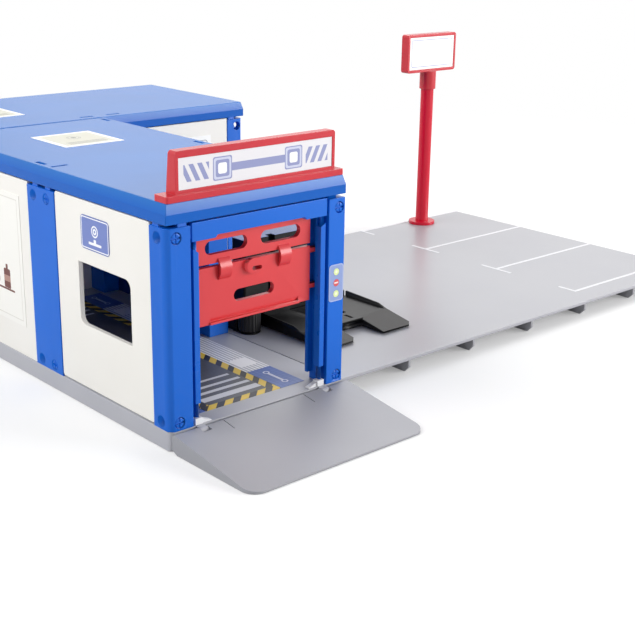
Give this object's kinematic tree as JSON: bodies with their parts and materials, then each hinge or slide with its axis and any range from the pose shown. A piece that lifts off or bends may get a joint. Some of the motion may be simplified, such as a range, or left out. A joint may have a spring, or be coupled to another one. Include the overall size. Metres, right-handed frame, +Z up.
{
  "type": "toy service station",
  "caption": "Toy service station with a lifting bay door, a hinged front ramp, a car lift, a roof sign and a forecourt with parking bays.",
  "frame": {"origin": "middle of the footprint, on the table the toy stands on", "axes": "+X to the right along the forecourt, +Y away from the front ramp, +Z up"},
  "size_m": [0.406, 0.358, 0.144],
  "materials": {
    "base_grey": "satin moulded plastic",
    "forecourt_grey": "smooth light grey moulded plastic",
    "ramp_grey": "satin moulded plastic",
    "panel_white": "smooth white moulded plastic",
    "panel_blue": "smooth dark blue moulded plastic",
    "post_blue": "glossy moulded plastic",
    "roof_blue": "glossy moulded plastic",
    "sign_red": "glossy moulded plastic",
    "door_red": "glossy moulded plastic",
    "clip_white": "smooth moulded plastic",
    "lift_black": "satin moulded plastic",
    "lift_blue": "glossy moulded plastic",
    "knob_black": "satin moulded plastic",
    "pole_red": "smooth moulded plastic",
    "label_white": "thin printed sheet, bare",
    "label_print": "thin printed sheet",
    "label_control": "thin printed sheet",
    "label_wall": "thin printed sheet",
    "line_white": "printed line",
    "lane_print": "thin printed sheet",
    "tool_print": "thin printed sheet",
    "grid_print": "thin printed sheet"
  },
  "bodies": {
    "station": {"base_front": "base_grey", "base_back": "base_grey", "panel_left_window": "panel_white", "panel_left_poster": "panel_white", "panel_left_rear": "panel_white", "panel_right_bay": "panel_blue", "panel_partition": "panel_white", "panel_wing_front": "panel_white", "panel_wing_end": "panel_white", "panel_back_left": "panel_white", "panel_back_right": "panel_white", "post_front_left": "post_blue", "post_front_right": "post_blue", "post_mid_left": "post_blue", "post_mid_right": "post_blue", "post_rear_left": "post_blue", "post_inner_corner": "post_blue", "post_wing_front": "post_blue", "post_wing_back": "post_blue", "post_back_middle": "post_blue", "post_back_left": "post_blue", "slotted_plugs": "post_blue", "lintel_front": "post_blue", "lintel_side": "post_blue", "roof_front": "roof_blue", "roof_back": "roof_blue", "roof_sign": "sign_red", "sign_label": "label_white", "door_rail_left": "post_blue", "door_rail_right": "post_blue", "ramp_ears": "base_grey", "ramp_clips": "clip_white", "forecourt": "forecourt_grey", "parking_lines": "line_white", "lane_sheets": "lane_print", "tool_sheets": "tool_print", "grid_sheets": "grid_print", "control_label": "label_control", "wall_label": "label_wall", "poster_label": "label_print", "wing_label": "label_white", "roof_labels": "label_print", "lift_housing": "lift_black", "lift_cap": "lift_blue", "pole_foot": "pole_red", "pole": "pole_red", "pole_sign": "sign_red", "pole_labels": "label_white"},
    "door_front": {"door_leaf_middle": "door_red", "door_leaf_lower": "door_red"},
    "door_top": {"door_leaf_top": "door_red"},
    "ramp": {"front_ramp": "ramp_grey"},
    "lift": {"lift_carriage": "lift_black"},
    "lift_knob": {"lift_knob": "knob_black"}
  },
  "joints": [
    {"name": "door_slide", "type": "slide", "parent": "station", "child": "door_front", "axis": [0, 0, 1], "range_m": [-0.042, 0]},
    {"name": "door_top_fold", "type": "hinge", "parent": "door_front", "child": "door_top", "pos_m": [-0.153, -0.1178, 0.1036], "axis": [1, 0, 0], "range_deg": [0, 90]},
    {"name": "ramp_swing", "type": "hinge", "parent": "station", "child": "ramp", "pos_m": [-0.153, -0.1264, 0.0069], "axis": [-1, 0, 0], "range_deg": [0, 80]},
    {"name": "lift_raise", "type": "slide", "parent": "station", "child": "lift", "axis": [0, 0, 1], "range_m": [0, 0.03]},
    {"name": "lift_knob_spin", "type": "hinge", "parent": "station", "child": "lift_knob", "pos_m": [-0.093, -0.041, 0.017], "axis": [0, 0, 1], "range_deg": [0, 540]}
  ],
  "couplings": [
    {"joint": "door_top_fold", "follows": "door_slide", "rad_per_m": -37.39},
    {"joint": "lift_knob_spin", "follows": "lift_raise", "rad_per_m": 314.1}
  ]
}
